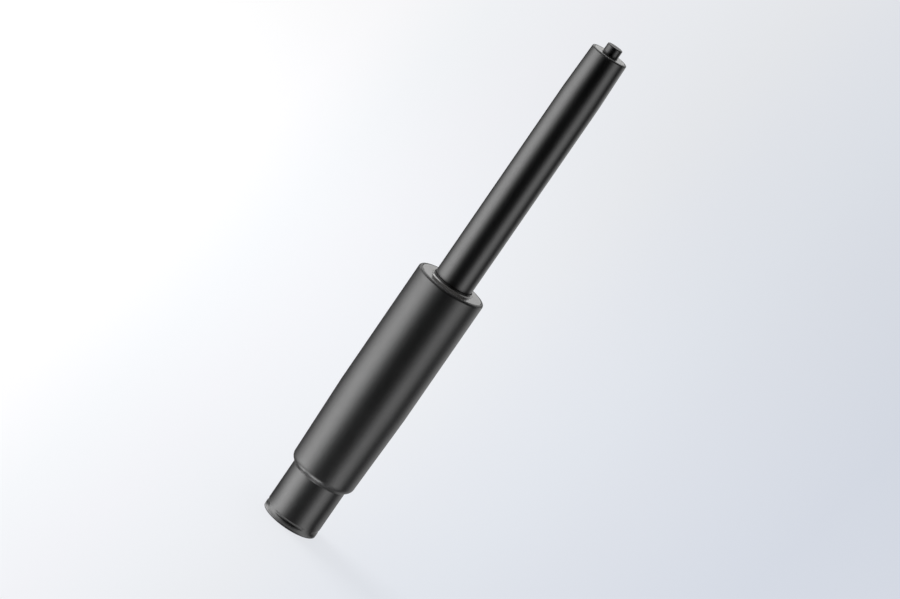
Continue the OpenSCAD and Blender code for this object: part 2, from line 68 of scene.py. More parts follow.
def look_from(distance, elevation, lean, target, pixel, pixels_per_metre):
    """Camera that shows the target point at the given pixel, with the part's axis leaning."""
    high, roll = math.radians(elevation), math.radians(lean)
    back = Vector((0, -math.cos(high), math.sin(high)))
    focal = pixels_per_metre * distance
    right, up = pixel[0] - IMAGE_WIDTH / 2, IMAGE_HEIGHT / 2 - pixel[1]
    turn = (-back).to_track_quat("-Z", "Y").to_matrix() @ Matrix.Rotation(roll, 3, "Z")
    turn = turn @ Euler((-up / focal, right / focal, 0)).to_matrix()
    data = bpy.data.cameras.new("photo_camera")
    data.sensor_width = SENSOR_WIDTH
    data.lens = focal * SENSOR_WIDTH / IMAGE_WIDTH
    data.clip_start, data.clip_end = 0.1, 60
    camera = bpy.data.objects.new("photo_camera", data)
    bpy.context.scene.collection.objects.link(camera)
    camera.matrix_world = Matrix.Translation(target + back * distance) @ turn.to_4x4()
    bpy.context.scene.camera = camera
    return data.lens


lens = look_from(
    distance=2.43,
    elevation=12.8,
    lean=34.55,
    target=Vector((0, 0, 203.2 * MM)),
    pixel=(456.46, 278.05),
    pixels_per_metre=1511.4,
)
print("focal length in mm:", round(lens, 1))

# %% [markdown]
# ## Helpers for colours and nodes
# Finishes are given as the hex values that a paint chart would give. Blender counts light
# linearly, so one function turns a hex value into linear numbers. A second one adds a node to a
# tree, sets it up and links it, and is used for the materials and for the geometry trees alike.

# %% Define the helpers
def linear(hex_value):
    """Linear colour of an sRGB hex value such as #1a1b1c."""
    parts = [int(hex_value[i : i + 2], 16) / 255 for i in (1, 3, 5)]
    bright = [p / 12.92 if p <= 0.04045 else ((p + 0.055) / 1.055) ** 2.4 for p in parts]
    return (*bright, 1.0)


def add(tree, kind, inputs=None, **settings):
    """Adds a node with its properties. An input gets a value, a socket or a node's first output."""
    made = tree.nodes.new(kind)
    for name, value in settings.items():
        setattr(made, name, value)
    for key, value in (inputs or {}).items():
        if isinstance(value, bpy.types.Node):
            value = value.outputs[0]
        if isinstance(value, bpy.types.NodeSocket):
            tree.links.new(value, made.inputs[key])
        else:
            made.inputs[key].default_value = value
    return made


def new_finish(name):
    """An empty material and its tree."""
    made = bpy.data.materials.new(name)
    made.use_nodes = True
    made.node_tree.nodes.clear()
    return made, made.node_tree


print("a mid grey in linear numbers:", [round(part, 3) for part in linear("#808080")[:3]])

# %% [markdown]
# ## Satin black enamel
# Both tubes are steel, degreased, sprayed and stoved. The coat is a near-black enamel with a
# satin sheen. Three things tell the eye that it is paint: a fine orange peel about two
# millimetres across, a sheen that is a little uneven from place to place, and sharp edges where
# handling has rubbed it greyer and duller. Wear could be painted on by hand, but all the edges of
# a turned piece lie at known heights, so a short rule finds them.

# %% Rub the coat at the edges
WEAR_REACH = 0.9 * MM


def edge_wear(tree, height, edges):
    """How rubbed the coat is: 1 at each of the given heights, and 0 beyond the reach of wear."""
    wear = None
    for edge in edges:
        away = add(tree, "ShaderNodeMath", {0: height, 1: edge}, operation="SUBTRACT")
        near = add(tree, "ShaderNodeMath", {0: away}, operation="ABSOLUTE")
        band = add(tree, "ShaderNodeMapRange", {
            "Value": near, "From Min": WEAR_REACH, "From Max": 0.0,
        })
        if wear is not None:
            band = add(tree, "ShaderNodeMath", {0: wear, 1: band}, operation="MAXIMUM")
        wear = band
    return wear


print("wear reaches", WEAR_REACH / MM, "mm from an edge")

# %% [markdown]
# The relief of the coat is far too fine to model, so it is a bump: soft waves for the orange
# peel, a little grit that was in the air, and, where the steel was ground before it was painted,
# rings round the tube. A noise that is far finer along the axis than across it draws the rings.
# Real grinding marks are finer still, and are drawn at a third of a millimetre so that they show.

# %% Give the coat its relief
PEEL, GRIT = 2.2 * MM, 0.35 * MM
COAT_RELIEF, GRIT_SHARE = 0.008 * MM, 0.10
RING_RUN, RING_PITCH = 40 * MM, 0.3125 * MM
GRINDING = (1 / RING_RUN, 1 / RING_RUN, 1 / RING_PITCH)


def coat_relief(tree, place, peel, ground):
    """Bump of a sprayed coat, from its orange peel and the depth of the rings under it."""
    grit = add(tree, "ShaderNodeTexNoise", {"Vector": place, "Scale": 1 / GRIT, "Detail": 2.0})
    stretched = add(tree, "ShaderNodeVectorMath", {0: place, 1: GRINDING}, operation="MULTIPLY")
    rings = add(tree, "ShaderNodeTexNoise", {"Vector": stretched, "Scale": 1.0, "Detail": 2.0})
    waves = add(tree, "ShaderNodeMath", {
        0: grit.outputs["Fac"], 1: GRIT_SHARE, 2: peel,
    }, operation="MULTIPLY_ADD")
    relief = add(tree, "ShaderNodeMath", {
        0: rings.outputs["Fac"], 1: ground, 2: waves,
    }, operation="MULTIPLY_ADD")
    return add(tree, "ShaderNodeBump", {
        "Strength": 1.0, "Distance": COAT_RELIEF, "Height": relief,
    })


print("the relief of the coat is", COAT_RELIEF / MM, "mm deep")

# %% [markdown]
# The enamel itself is a dark, rough base under a thinner, crisper clear coat. Together they give
# the two reflections, one soft and one tighter, that stoved enamel has. Where it is rubbed, the
# clear coat is nearly gone and the base is rougher.

# %% Define the enamel
CLOUD = 28 * MM
RUBBED_ROUGHER, RUBBED_COAT = 0.35, 0.1


def satin_enamel(
    name, colour, roughness, coat_roughness, edges, ground=0.0, bare="#2e2e2f", coat=0.8
):
    """Black enamel, rubbed to the bare tone at the edges. Ground is the depth of its rings."""
    made, tree = new_finish(name)
    place = add(tree, "ShaderNodeTexCoord").outputs["Object"]
    height = add(tree, "ShaderNodeSeparateXYZ", {"Vector": place}).outputs["Z"]
    peel = add(tree, "ShaderNodeTexNoise", {
        "Vector": place, "Scale": 1 / PEEL, "Detail": 1.5,
    }).outputs["Fac"]
    cloud = add(tree, "ShaderNodeTexNoise", {"Vector": place, "Scale": 1 / CLOUD, "Detail": 4.0})
    rough = add(tree, "ShaderNodeMapRange", {
        "Value": cloud.outputs["Fac"], "From Min": 0.3, "From Max": 0.7,
        "To Min": roughness - 0.025, "To Max": roughness + 0.035,
    })
    patches = add(tree, "ShaderNodeMapRange", {
        "Value": peel, "From Min": 0.42, "From Max": 0.68, "To Min": 0.0, "To Max": 0.55,
    })
    wear = edge_wear(tree, height, edges)
    greyed = add(tree, "ShaderNodeMath", {0: wear, 1: patches}, operation="MULTIPLY")
    dull = add(tree, "ShaderNodeMath", {
        0: wear, 1: RUBBED_ROUGHER, 2: rough,
    }, operation="MULTIPLY_ADD")
    lacquer = add(tree, "ShaderNodeMapRange", {
        "Value": wear, "From Min": 0.0, "From Max": 0.7, "To Min": coat, "To Max": RUBBED_COAT,
    })
    tint = add(tree, "ShaderNodeMix", {
        0: greyed, 6: linear(colour), 7: linear(bare),
    }, data_type="RGBA")
    relief = coat_relief(tree, place, peel, ground)
    paint = add(tree, "ShaderNodeBsdfPrincipled", {
        "Base Color": tint.outputs[2], "Roughness": dull, "IOR": 1.55, "Coat Weight": lacquer,
        "Coat Roughness": coat_roughness, "Coat IOR": 1.5, "Normal": relief,
        "Coat Normal": relief,
    })
    add(tree, "ShaderNodeOutputMaterial", {"Surface": paint})
    return made


print("the sheen of the enamel changes over", CLOUD / MM, "mm")

# %% [markdown]
# The same enamel goes on both tubes. The pressure tube was ground before it was painted, because
# it slides in the bush, so its coat follows fine rings round the tube and is a little blacker and
# tighter. The button has a thinner coat, and the lever has only dulled the edge of its top face.

# %% Mix the enamels
column_enamel = satin_enamel("satin_black_enamel", "#0b0b0c", 0.33, 0.25, [0.0, 197.6 * MM])
tube_enamel = satin_enamel(
    "ground_black_enamel", "#050506", 0.30, 0.22, [383.4 * MM], ground=0.12
)
button_enamel = satin_enamel(
    "button_enamel", "#050506", 0.28, 0.24, [390.25 * MM], bare="#1e1e1e", coat=0.35
)
print("enamels:", column_enamel.name, tube_enamel.name, button_enamel.name)

# %% [markdown]
# ## Turned steel
# The plug in the top of the tube, the plates, the races and the inner cylinder are bare steel off
# a lathe. A lathe leaves rings at the pitch of its feed, here drawn at a quarter of a millimetre
# so that they show. The rings follow the distance from the axis on a face and the height on a
# side, so a helper reads both. Patches of a darker tone are the film of oil that bare steel keeps.

# %% Define the bare metals
FEED = 0.25 * MM
OIL_PATCH = 6 * MM


def from_axis(tree, place):
    """The distance of a place from the part's axis, and its height."""
    flat = add(tree, "ShaderNodeVectorMath", {0: place, 1: (1, 1, 0)}, operation="MULTIPLY")
    radius = add(tree, "ShaderNodeVectorMath", {0: flat}, operation="LENGTH").outputs["Value"]
    return radius, add(tree, "ShaderNodeSeparateXYZ", {"Vector": place}).outputs["Z"]


def turned_metal(name, colour, roughness, ring_depth, stain="#8a8780"):
    """Bare metal with lathe rings of a depth in metres, and a stain in its older patches."""
    made, tree = new_finish(name)
    place = add(tree, "ShaderNodeTexCoord").outputs["Object"]
    radius, height = from_axis(tree, place)
    along = add(tree, "ShaderNodeMath", {0: radius, 1: height}, operation="ADD")
    rings = add(tree, "ShaderNodeTexNoise", {
        "W": along, "Scale": 1 / FEED, "Detail": 1.0,
    }, noise_dimensions="1D")
    patches = add(tree, "ShaderNodeTexNoise", {
        "Vector": place, "Scale": 1 / OIL_PATCH, "Detail": 5.0,
    }).outputs["Fac"]
    share = add(tree, "ShaderNodeMapRange", {
        "Value": patches, "From Min": 0.45, "From Max": 0.75, "To Min": 0.0, "To Max": 0.5,
    })
    tint = add(tree, "ShaderNodeMix", {
        0: share, 6: linear(colour), 7: linear(stain),
    }, data_type="RGBA")
    rough = add(tree, "ShaderNodeMapRange", {
        "Value": patches, "From Min": 0.3, "From Max": 0.7, "To Min": roughness - 0.04,
        "To Max": roughness + 0.06,
    })
    bump = add(tree, "ShaderNodeBump", {
        "Strength": 1.0, "Distance": ring_depth, "Height": rings.outputs["Fac"],
    })
    steel = add(tree, "ShaderNodeBsdfPrincipled", {
        "Base Color": tint.outputs[2], "Metallic": 1.0, "Roughness": rough, "Normal": bump,
    })
    add(tree, "ShaderNodeOutputMaterial", {"Surface": steel})
    return made


plug_steel = turned_metal("turned_steel", "#7b7b7a", 0.32, 0.006 * MM, stain="#6e6d6b")
bright_steel = turned_metal("bright_steel", "#b9b9ba", 0.32, 0.004 * MM)
hard_chrome = turned_metal("hard_chrome", "#d2d3d6", 0.10, 0.0004 * MM, stain="#c4c5c8")
cage_brass = turned_metal("stamped_brass", "#c9a25a", 0.30, 0.003 * MM, stain="#a8813c")
print("metals:", plug_steel.name, bright_steel.name, hard_chrome.name, cage_brass.name)

# %% [markdown]
# ## Moulded plastics and rubber
# The guide bush is black acetal. Its face comes off a polished mould, and use has left dust on it.
# Its top face is painted a lighter grey: painted light, standing for the light that falls on the
# face. Seen at a low angle it still mirrors the pale room behind the part, so it looks light,
# except in front, where it mirrors the dark tube. The guides inside are natural acetal, waxy and a
# little cloudy. Rubber is duller, holds dust, and has the softest reflection. One recipe serves all
# of them with other numbers.

# %% Paint light on a face of a piece
def painted_light_tint(tree, place, tint, height, reach, tone):
    """The tint, painted a lighter tone above a height and within a radius: painted light on a top
    face.
    """
    radius, level = from_axis(tree, place)
    above = add(tree, "ShaderNodeMath", {0: level, 1: height}, operation="GREATER_THAN")
    within = add(tree, "ShaderNodeMath", {0: radius, 1: reach}, operation="LESS_THAN")
    both = add(tree, "ShaderNodeMath", {0: above, 1: within}, operation="MULTIPLY")
    return add(tree, "ShaderNodeMix", {
        0: both, 6: tint, 7: linear(tone),
    }, data_type="RGBA").outputs[2]


# Painted light: above this height and within this radius the bush's top face is painted this
# lighter grey, standing for the light that falls on it.
PAINTED_LIGHT_FACE = (197.9 * MM, 23.2 * MM, "#4b4a49")
print("the bush is rubbed above", PAINTED_LIGHT_FACE[0] / MM, "mm")

# %% [markdown]
# A moulding shows two sizes of unevenness: the fine texture of its mould, which is a bump, and
# scuffs of about nine millimetres, which change its tone and its gloss together.

# %% Mix the plastics and the rubber
SCUFF = 9 * MM


def moulded(name, colour, dusty, roughness, grain, depth, ior=1.5, greyed=None):
    """Moulded plastic or rubber, dusty where it is scuffed, with a texture of a grain and depth."""
    made, tree = new_finish(name)
    place = add(tree, "ShaderNodeTexCoord").outputs["Object"]
    texture = add(tree, "ShaderNodeTexNoise", {
        "Vector": place, "Scale": 1 / grain, "Detail": 3.0,
    })
    scuffs = add(tree, "ShaderNodeTexNoise", {
        "Vector": place, "Scale": 1 / SCUFF, "Detail": 6.0,
    }).outputs["Fac"]
    share = add(tree, "ShaderNodeMapRange", {
        "Value": scuffs, "From Min": 0.4, "From Max": 0.8, "To Min": 0.0, "To Max": 0.6,
    })
    tint = add(tree, "ShaderNodeMix", {
        0: share, 6: linear(colour), 7: linear(dusty),
    }, data_type="RGBA").outputs[2]
    # Painted light: a lighter top face, where one is given.
    if greyed:
        tint = painted_light_tint(tree, place, tint, *greyed)
    rough = add(tree, "ShaderNodeMapRange", {
        "Value": scuffs, "From Min": 0.3, "From Max": 0.7, "To Min": roughness - 0.04,
        "To Max": roughness + 0.05,
    })
    bump = add(tree, "ShaderNodeBump", {
        "Strength": 1.0, "Distance": depth, "Height": texture.outputs["Fac"],
    })
    body = add(tree, "ShaderNodeBsdfPrincipled", {
        "Base Color": tint, "Roughness": rough, "IOR": ior, "Normal": bump,
    })
    add(tree, "ShaderNodeOutputMaterial", {"Surface": body})
    return made


black_acetal = moulded(
    "black_acetal", "#101010", "#191919", 0.15, 0.30 * MM, 0.002 * MM, ior=1.6, greyed=PAINTED_LIGHT_FACE
)
natural_acetal = moulded(
    "natural_acetal", "#dad8cf", "#c6c3b8", 0.40, 0.30 * MM, 0.004 * MM, ior=1.48
)
black_rubber = moulded(
    "black_rubber", "#131313", "#242423", 0.58, 0.40 * MM, 0.012 * MM, ior=1.52
)
print("plastics:", black_acetal.name, natural_acetal.name, black_rubber.name)

# %% [markdown]
# ## A lathe made of nodes
# A turned piece is one outline swept once round the axis. Modelling it face by face would hide
# that rule, so a Geometry Nodes tree does the turning. A tree has named inputs, and it ends by
# realizing its instances and setting its material, because an exported model keeps neither by
# itself. Two helpers open and close every tree of this lesson in that way.

# %% Open and close a tree
def open_tree(name, inputs):
    """A geometry tree that takes an outline, the named inputs and a finish, and gives a piece."""
    tree = bpy.data.node_groups.new(name, "GeometryNodeTree")
    inputs = {"Outline": "NodeSocketGeometry", **inputs, "Finish": "NodeSocketMaterial"}
    for label, kind in inputs.items():
        tree.interface.new_socket(label, in_out="INPUT", socket_type=kind)
    tree.interface.new_socket("Piece", in_out="OUTPUT", socket_type="NodeSocketGeometry")
    return tree, add(tree, "NodeGroupInput").outputs


def close_tree(tree, geometry, finish):
    """Realizes instances, sets the finish and gives out the piece."""
    real = add(tree, "GeometryNodeRealizeInstances", {"Geometry": geometry})
    coated = add(tree, "GeometryNodeSetMaterial", {"Geometry": real, "Material": finish})
    add(tree, "NodeGroupOutput", {"Piece": coated})


lathe, given = open_tree("lathe", {"Steps Round": "NodeSocketInt"})
print("the lathe takes:", [item.name for item in lathe.interface.items_tree])

# %% [markdown]
# The lathe takes the outline's points in order, lays a grid with one row for each point and one
# column for each step round, and puts every grid point where its outline point has been turned
# to. The seam and the poles are then merged, so that the piece is closed.

# %% Build the lathe
SEAM = 0.002 * MM


def turned_geometry(tree, given):
    """The outline swept round the axis, inside any tree that has Outline and Steps Round."""
    count = add(tree, "GeometryNodeAttributeDomainSize", {
        "Geometry": given["Outline"],
    }, component="MESH").outputs["Point Count"]
    steps = given["Steps Round"]
    rows = add(tree, "ShaderNodeMath", {0: count, 1: 1}, operation="ADD")
    columns = add(tree, "ShaderNodeMath", {0: steps, 1: 1}, operation="ADD")
    grid = add(tree, "GeometryNodeMeshGrid", {"Vertices X": columns, "Vertices Y": rows})
    index = add(tree, "GeometryNodeInputIndex")
    row = add(tree, "ShaderNodeMath", {0: index, 1: rows}, operation="MODULO")
    point = add(tree, "ShaderNodeMath", {0: row, 1: count}, operation="MODULO")
    column = add(tree, "ShaderNodeMath", {0: index, 1: rows}, operation="DIVIDE")
    step = add(tree, "ShaderNodeMath", {0: column}, operation="FLOOR")
    share = add(tree, "ShaderNodeMath", {0: step, 1: steps}, operation="DIVIDE")
    angle = add(tree, "ShaderNodeMath", {0: share, 1: math.tau}, operation="MULTIPLY")
    outline_point = add(tree, "GeometryNodeSampleIndex", {
        "Geometry": given["Outline"], "Value": add(tree, "GeometryNodeInputPosition"),
        "Index": point,
    }, data_type="FLOAT_VECTOR", domain="POINT")
    turned = add(tree, "ShaderNodeVectorRotate", {
        "Vector": outline_point, "Angle": angle,
    }, rotation_type="Z_AXIS")
    moved = add(tree, "GeometryNodeSetPosition", {
        "Geometry": grid.outputs["Mesh"], "Position": turned,
    })
    return add(tree, "GeometryNodeMergeByDistance", {"Geometry": moved, "Distance": SEAM})


close_tree(lathe, turned_geometry(lathe, given), given["Finish"])
print("the lathe has", len(lathe.nodes), "nodes")

# %% [markdown]
# ## Outlines with real edges
# No edge on a real part is sharp, and a smooth-shaded piece only looks right if its edges are
# rounded. This helper takes the corners of an outline, each with a radius, and puts an arc in
# each of them. Beside each arc it adds a guard point, so that the smooth shading of the edge
# doesn't run into the flat beside it.

# %% Round the outlines
ARC_STEPS = 6
GUARD = 0.12
SHORTEST_RUN = 0.01


def rounded(corners):
    """Points of a closed outline from (radius, height, rounding) corners, in millimetres."""
    arcs = []
    for i, (x, y, rounding) in enumerate(corners):
        here = Vector((x, y))
        before = Vector(corners[i - 1][:2])
        after = Vector(corners[(i + 1) % len(corners)][:2])
        inward, outward = (before - here).normalized(), (after - here).normalized()
        half = inward.angle(outward) / 2
        if rounding == 0 or half > math.radians(89.9):
            arcs.append([here])
            continue
        reach = rounding / math.tan(half)
        middle = here + (inward + outward).normalized() * rounding / math.sin(half)
        first, last = here + inward * reach - middle, here + outward * reach - middle
        sweep = first.angle_signed(last)
        turns = [Matrix.Rotation(-sweep * k / ARC_STEPS, 2) for k in range(ARC_STEPS + 1)]
        arcs.append([middle + turn @ first for turn in turns])
    points = []
    for arc, following in zip(arcs, arcs[1:] + arcs[:1]):
        points += arc
        run = following[0] - arc[-1]
        guard = run.normalized() * min(GUARD, run.length / 3)
        if run.length > SHORTEST_RUN:
            points += [arc[-1] + guard, following[0] - guard]
    return points


print("a rounded square has", len(rounded([(0, 0, 1), (9, 0, 1), (9, 9, 1), (0, 9, 1)])), "points")

# %% [markdown]
# The next helper runs a tree on an outline. The result becomes a plain mesh, its faces are turned
# outwards, the imported piece that it stands for is hidden, and it is hung on the body it rides on.

# %% Grow a piece
def grow(name, tree, outline, finish, body, replaced, material_slot, **sizes):
    """Runs a tree on an outline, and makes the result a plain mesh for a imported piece."""
    base = bpy.data.meshes.new(name + "_outline")
    points = [(p.x * MM, 0, p.y * MM) for p in outline]
    base.from_pydata(points, [(i, (i + 1) % len(points)) for i in range(len(points))], [])
    piece = bpy.data.objects.new(name, base)
    bpy.context.scene.collection.objects.link(piece)
    modifier = piece.modifiers.new("grow", "NODES")
    modifier.node_group = tree
    values = {label.replace("_", " ").title(): size for label, size in sizes.items()}
    values["Finish"] = finish
    for item in tree.interface.items_tree:
        if item.in_out == "INPUT" and item.name in values:
            modifier[item.identifier] = values[item.name]
    graph = bpy.context.evaluated_depsgraph_get()
    mesh = bpy.data.meshes.new_from_object(piece.evaluated_get(graph), depsgraph=graph)
    piece.modifiers.clear()
    piece.data = mesh
    bpy.data.meshes.remove(base)
    shell = bmesh.new()
    shell.from_mesh(mesh)
    if shell.calc_volume(signed=True) < 0:
        bmesh.ops.reverse_faces(shell, faces=shell.faces)
    volume = shell.calc_volume(signed=True)
    shell.to_mesh(mesh)
    shell.free()
    mesh.shade_smooth()
    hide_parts(replaced)
    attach(piece, body)
    print(f"{name}: {len(mesh.polygons)} faces, {volume * 1e6:.2f} cubic centimetres")
    return piece


STEPS = 256
print("main pieces are turned in", STEPS, "steps")

# %% [markdown]
# ## The column tube
# The column is drawn steel tube. Its foot is reduced so that it passes through the hub of the
# chair base, a rounded shoulder leads up to a slow taper that wedges in the hub, and the straight
# part ends in a rim that is rolled over the bush. The crimp just above the foot's edge holds the
# base plate inside. The lathe makes it as a full ring.

# %% Turn the column
COLUMN_R, COLUMN_WALL, COLUMN_TOP = 25.4, 2.0, 198.0
BORE_R = COLUMN_R - COLUMN_WALL
FOOT_R, FOOT_TOP = 20.4, 37.5
FOOT_BORE_R = FOOT_R - COLUMN_WALL
TAPER_TOP, TAPER_SLOPE = 102.0, 1 / 40
CRIMP_Z, CRIMP_HALF, CRIMP_DEPTH = 4.7, 1.25, 0.46
shoulder_z = (COLUMN_R - TAPER_TOP * TAPER_SLOPE - FOOT_R + FOOT_TOP) / (1 - TAPER_SLOPE)
shoulder_r = COLUMN_R - (TAPER_TOP - shoulder_z) * TAPER_SLOPE
rise = COLUMN_WALL * math.tan(math.radians(22.5))
column = grow(
    "column_tube_enamelled",
    lathe,
    rounded([
        (FOOT_BORE_R, 0, 0.3),
        (FOOT_R, 0, 0.3),
        (FOOT_R, CRIMP_Z - CRIMP_HALF, 1.0),
        (FOOT_R - CRIMP_DEPTH, CRIMP_Z, 1.6),
        (FOOT_R, CRIMP_Z + CRIMP_HALF, 1.0),
        (FOOT_R, FOOT_TOP, 0.8),
        (shoulder_r, shoulder_z, 5.5),
        (COLUMN_R, TAPER_TOP, 40),
        (COLUMN_R, COLUMN_TOP, 1.8),
        (BORE_R, COLUMN_TOP, 0.1),
        (BORE_R, TAPER_TOP, 40),
        (shoulder_r - COLUMN_WALL, shoulder_z + rise, 1.0),
        (FOOT_BORE_R, FOOT_TOP + rise, 1.0),
        (FOOT_BORE_R, CRIMP_Z + CRIMP_HALF, 1.0),
        (FOOT_BORE_R - CRIMP_DEPTH, CRIMP_Z, 1.6),
        (FOOT_BORE_R, CRIMP_Z - CRIMP_HALF, 1.0),
    ]),
    column_enamel, "column", "column_tube", "black_enamel", steps_round=STEPS,
)

# %% [markdown]
# A press makes the crimp with four jaws, so it is deep in front of each jaw and fades between
# them. A lathe can't do that, so the ring's own points are moved back out towards the wall.

# %% Fade the crimp between the jaws
JAWS, JAW_HALF, JAW_FADE = 4, 41.0, 16.0
CRIMP_FROM, CRIMP_TO = 1 * MM, (CRIMP_Z + CRIMP_HALF + 1) * MM


def jaw_share(x, y):
    """How deep the crimp is in this direction, from 0 between the jaws to 1 in front of one."""
    pitch = 360 / JAWS
    turned = (math.degrees(math.atan2(x, -y)) + pitch / 2) % pitch - pitch / 2
    share = min(max((JAW_HALF - abs(turned)) / JAW_FADE, 0), 1)
    return share * share * (3 - 2 * share)


faded = 0
for corner in column.data.vertices:
    x, y, z = corner.co
    radius = math.hypot(x, y)
    wall = FOOT_R * MM if radius > (FOOT_R - COLUMN_WALL / 2) * MM else FOOT_BORE_R * MM
    if CRIMP_FROM < z < CRIMP_TO and radius < wall:
        wanted = wall - (wall - radius) * jaw_share(x, y)
        corner.co = (x * wanted / radius, y * wanted / radius, z)
        faded += 1
print("points of the crimp:", faded)

# %% [markdown]
# ## The pressure tube
# This tube is the gas spring itself. Its top narrows by one in twenty, the same taper as the
# column's, and wedges in the seat. The top edge is rolled over the plug and the lower edge is
# rolled in under the rod guide. Only the outside shows, but the piece is closed all round, inside
# too, so that it can be cut open.

# %% Turn the pressure tube
TUBE_R, TUBE_WALL = 14.0, 1.5
TUBE_FOOT, TUBE_OPEN_R = 151.35, 8.0
VALVE_TOP, TUBE_TOP = 349.75, 383.75
TUBE_TOP_R = TUBE_R - (TUBE_TOP - VALVE_TOP) * TAPER_SLOPE
PLUG_R = TUBE_TOP_R - TUBE_WALL
grow(
    "pressure_tube_enamelled",
    lathe,
    rounded([
        (TUBE_OPEN_R, TUBE_FOOT, 0.2),
        (TUBE_R, TUBE_FOOT, 2.0),
        (TUBE_R, VALVE_TOP, 40),
        (TUBE_TOP_R, TUBE_TOP, 0.9),
        (PLUG_R, TUBE_TOP, 0.1),
        (TUBE_R - TUBE_WALL, VALVE_TOP, 4),
        (TUBE_R - TUBE_WALL, TUBE_FOOT + TUBE_WALL, 0.5),
        (TUBE_OPEN_R, TUBE_FOOT + TUBE_WALL, 0.2),
    ]),
    tube_enamel, "cylinder", "pressure_tube", "black_enamel", steps_round=STEPS,
)

# %% [markdown]
# ## The guide bush
# The bush keeps the tube upright in the column. It is a thin sleeve and a thin skin joined by
# ribs, under a solid head, because thick plastic would sink as it cools. The ribs repeat by a
# rule, so the tree turns the outline as the lathe does and adds the ribs as copies of one bar,
# each turned by its share of a circle.

# %% Build the tree of the bush
bush_tree, given = open_tree(
    "ribbed_bush",
    {
        "Steps Round": "NodeSocketInt",
        "Ribs": "NodeSocketInt",
        **{
            label: "NodeSocketFloat"
            for label in ("Rib Width", "Sleeve Radius", "Skin Radius", "Rib Foot", "Rib Top")
        },
    },
)
shell = turned_geometry(bush_tree, given)
low_in = add(bush_tree, "ShaderNodeCombineXYZ", {
    "X": given["Sleeve Radius"], "Z": given["Rib Foot"],
})
high_out = add(bush_tree, "ShaderNodeCombineXYZ", {
    "X": given["Skin Radius"], "Z": given["Rib Top"],
})
span = add(bush_tree, "ShaderNodeVectorMath", {0: high_out, 1: low_in}, operation="SUBTRACT")
width = add(bush_tree, "ShaderNodeCombineXYZ", {"Y": given["Rib Width"]})
rib_size = add(bush_tree, "ShaderNodeVectorMath", {0: span, 1: width}, operation="ADD")
middle = add(bush_tree, "ShaderNodeVectorMath", {
    0: span, 1: (0.5, 0.5, 0.5), 2: low_in,
}, operation="MULTIPLY_ADD")
bar = add(bush_tree, "GeometryNodeMeshCube", {"Size": rib_size})
set_off = add(bush_tree, "GeometryNodeTransform", {
    "Geometry": bar.outputs["Mesh"], "Translation": middle,
})
places = add(bush_tree, "GeometryNodeMeshLine", {"Count": given["Ribs"], "Offset": (0, 0, 0)})
number = add(bush_tree, "GeometryNodeInputIndex")
pitch = add(bush_tree, "ShaderNodeMath", {0: math.tau, 1: given["Ribs"]}, operation="DIVIDE")
own_turn = add(bush_tree, "ShaderNodeMath", {0: number, 1: pitch}, operation="MULTIPLY")
rotation = add(bush_tree, "ShaderNodeCombineXYZ", {"Z": own_turn})
ribs = add(bush_tree, "GeometryNodeInstanceOnPoints", {
    "Points": places.outputs["Mesh"], "Instance": set_off, "Rotation": rotation,
})
joined = add(bush_tree, "GeometryNodeJoinGeometry")
for geometry in (ribs, shell):
    bush_tree.links.new(geometry.outputs[0], joined.inputs[0])
close_tree(bush_tree, joined, given["Finish"])
print("the bush's tree has", len(bush_tree.nodes), "nodes")

# %% [markdown]
# The bush's outline leaves a pocket for the wiper inside its head and has a low cone round the
# wiper on its face, which catches the light. The ribs reach a little way into sleeve, skin and
# head, as they do in one moulding.

# %% Grow the bush with its ribs
BUSH_FOOT, BUSH_HEAD, RIBS, RIB_WIDTH, RIB_ROOT = 110.0, 9.0, 12, 1.6, 0.75
GUIDE_R, SLEEVE_R, SKIN_R = 14.06, 16.46, 21.9
WIPER_R, WIPER_NECK_R, WIPER_BODY_R = 14.09, 14.44, 17.09
WIPER_FOOT, WIPER_SHOULDER = 192.0, 195.8
BEAD_R, BEAD_SHELF, BEAD_TOP = 16.2, 15.1, COLUMN_TOP + 0.6
LEAD_IN, RIM_BEVEL = 1.0, 0.5
grow(
    "guide_bush_moulded",
    bush_tree,
    rounded([
        (GUIDE_R + LEAD_IN, BUSH_FOOT, 0.2),
        (SLEEVE_R, BUSH_FOOT, 0.3),
        (SLEEVE_R, COLUMN_TOP - BUSH_HEAD, 0.8),
        (SKIN_R, COLUMN_TOP - BUSH_HEAD, 0.8),
        (SKIN_R, BUSH_FOOT, 0.3),
        (BORE_R, BUSH_FOOT, 0.6),
        (BORE_R, COLUMN_TOP - RIM_BEVEL, 0.2),
        (BORE_R - RIM_BEVEL, COLUMN_TOP, 0.2),
        (BEAD_R, COLUMN_TOP, 0.2),
        (BEAD_SHELF, BEAD_TOP, 0.2),
        (WIPER_NECK_R, BEAD_TOP, 0.15),
        (WIPER_NECK_R, WIPER_SHOULDER, 0.15),
        (WIPER_BODY_R, WIPER_SHOULDER, 0.15),
        (WIPER_BODY_R, WIPER_FOOT, 0.15),
        (GUIDE_R, WIPER_FOOT, 0.15),
        (GUIDE_R, BUSH_FOOT + LEAD_IN, 0.2),
    ]),
    black_acetal, "column", "guide_bush", "black_plastic", steps_round=STEPS,
    ribs=RIBS,
    rib_width=RIB_WIDTH * MM,
    sleeve_radius=(SLEEVE_R - RIB_ROOT) * MM,
    skin_radius=(SKIN_R + RIB_ROOT) * MM,
    rib_foot=(BUSH_FOOT + LEAD_IN) * MM,
    rib_top=(COLUMN_TOP - BUSH_HEAD + RIB_ROOT) * MM,
)

# %% [markdown]
# ## The wiper
# A rubber wiper is snapped into the bush, and its thin lip stands round the tube just above the
# bush. The wiper's collar is polished by handling and shines like the enamel beside it, while its
# lip is cut and stays matt. One material serves both, and goes from one to the other at the
# height of the lip's foot.

